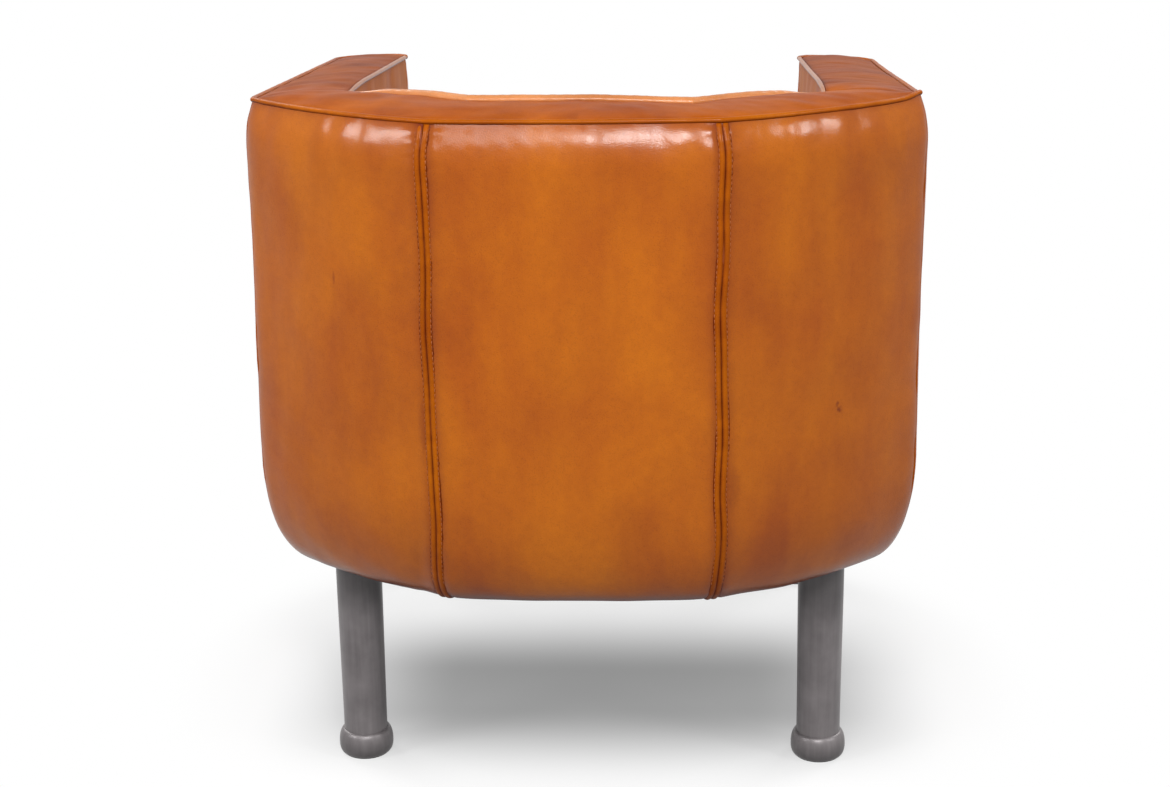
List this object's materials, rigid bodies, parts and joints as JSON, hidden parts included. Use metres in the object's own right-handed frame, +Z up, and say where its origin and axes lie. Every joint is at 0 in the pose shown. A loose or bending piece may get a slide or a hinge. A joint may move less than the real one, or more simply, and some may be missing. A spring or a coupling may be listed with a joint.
{
  "type": "leather armchair",
  "caption": "Leather tub armchair with a faceted wraparound back, arms sloping down to round ends, a loose seat cushion and round metal legs with collared feet.",
  "frame": {"origin": "on the floor, under the middle of the chair's outer box", "axes": "+Z up, +Y to the rear of the chair, so the sitter faces -Y; +X to the sitter's left; the chair is mirrored about the plane x = 0"},
  "size_m": [0.6798, 0.736, 0.723],
  "materials": {
    "leather": "glossy tan aniline leather with soft darker mottling",
    "piping": "the same leather rolled over a cord or stitched flat",
    "foam": "upholstery foam in wadding",
    "frame_wood": "planed beech, unfinished",
    "webbing": "woven elastic webbing",
    "cloth": "black non-woven cloth",
    "leg_paint": "satin warm grey metallic powder coat",
    "screw_zinc": "zinc plated",
    "glide_plastic": "matt black moulded plastic"
  },
  "bodies": {
    "chair": {"back_cover_centre": "leather", "back_cover_left": "leather", "back_cover_right": "leather", "arm_cover_left": "leather", "arm_cover_right": "leather", "back_top_cover": "leather", "arm_top_cover_left": "leather", "arm_top_cover_right": "leather", "inner_back_cover": "leather", "inner_arm_cover_left": "leather", "inner_arm_cover_right": "leather", "seat_front_cover": "leather", "outer_piping": "piping", "inner_piping": "piping", "back_seam_strips": "piping", "back_pad_centre": "foam", "back_pad_left": "foam", "back_pad_right": "foam", "arm_pad_left": "foam", "arm_pad_right": "foam", "inner_back_pad_centre": "foam", "inner_back_pad_left": "foam", "inner_back_pad_right": "foam", "inner_arm_pad_left": "foam", "inner_arm_pad_right": "foam", "seat_front_pad": "foam", "back_lower_rail": "frame_wood", "side_lower_rail_left": "frame_wood", "side_lower_rail_right": "frame_wood", "back_upper_rail": "frame_wood", "side_upper_rail_left": "frame_wood", "side_upper_rail_right": "frame_wood", "back_posts": "frame_wood", "corner_posts": "frame_wood", "arm_posts": "frame_wood", "arm_base_left": "frame_wood", "arm_base_right": "frame_wood", "arm_rail_left": "frame_wood", "arm_rail_right": "frame_wood", "seat_front_rail": "frame_wood", "seat_rear_rail": "frame_wood", "seat_side_rail_left": "frame_wood", "seat_side_rail_right": "frame_wood", "corner_blocks": "frame_wood", "webbing_lengthways": "webbing", "webbing_crossways": "webbing", "seat_deck": "cloth", "dust_cover": "cloth", "leg_rear_left": "leg_paint", "leg_rear_right": "leg_paint", "leg_front_left": "leg_paint", "leg_front_right": "leg_paint", "leg_plates": "leg_paint", "leg_screws": "screw_zinc", "feet": "leg_paint", "glides": "glide_plastic"},
    "cushion": {"cushion_top": "leather", "cushion_border": "leather", "cushion_base": "cloth", "cushion_core": "foam"}
  },
  "joints": [
    {"name": "cushion_lift", "type": "slide", "parent": "chair", "child": "cushion", "axis": [0, 0, 1], "range_m": [0, 0.45]}
  ]
}
